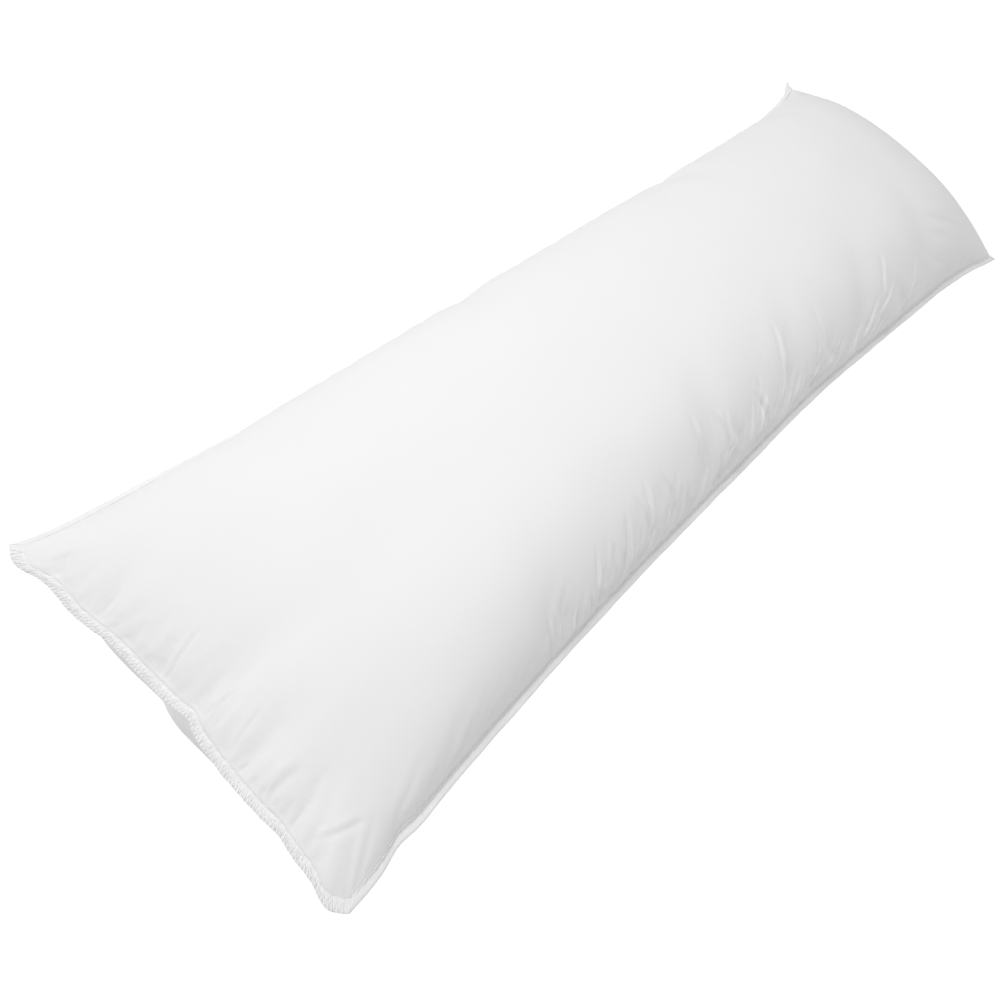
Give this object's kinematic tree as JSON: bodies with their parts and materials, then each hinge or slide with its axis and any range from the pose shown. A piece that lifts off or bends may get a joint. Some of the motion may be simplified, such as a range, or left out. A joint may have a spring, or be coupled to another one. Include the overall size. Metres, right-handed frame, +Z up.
{
  "type": "body pillow",
  "caption": "Long filled body pillow in plain white cotton, crowned in the middle, with drawn-in sides and a narrow sewn edge standing out all round.",
  "frame": {"origin": "on the surface it lies on, under the middle of the pillow's bounding box", "axes": "+X along the pillow towards its far end, +Y across it towards its left side, +Z up out of the front panel"},
  "size_m": [1.4912, 0.5039, 0.2135],
  "materials": {
    "pillow_cotton": "fine plain-weave white cotton, matte with a faint sheen",
    "edge_cotton": "doubled white cotton, overlocked with white thread, matte"
  },
  "bodies": {
    "root": {"pillow": "pillow_cotton", "near_end_edge": "edge_cotton", "far_end_edge": "edge_cotton", "right_edge": "edge_cotton", "left_edge": "edge_cotton"}
  },
  "joints": []
}
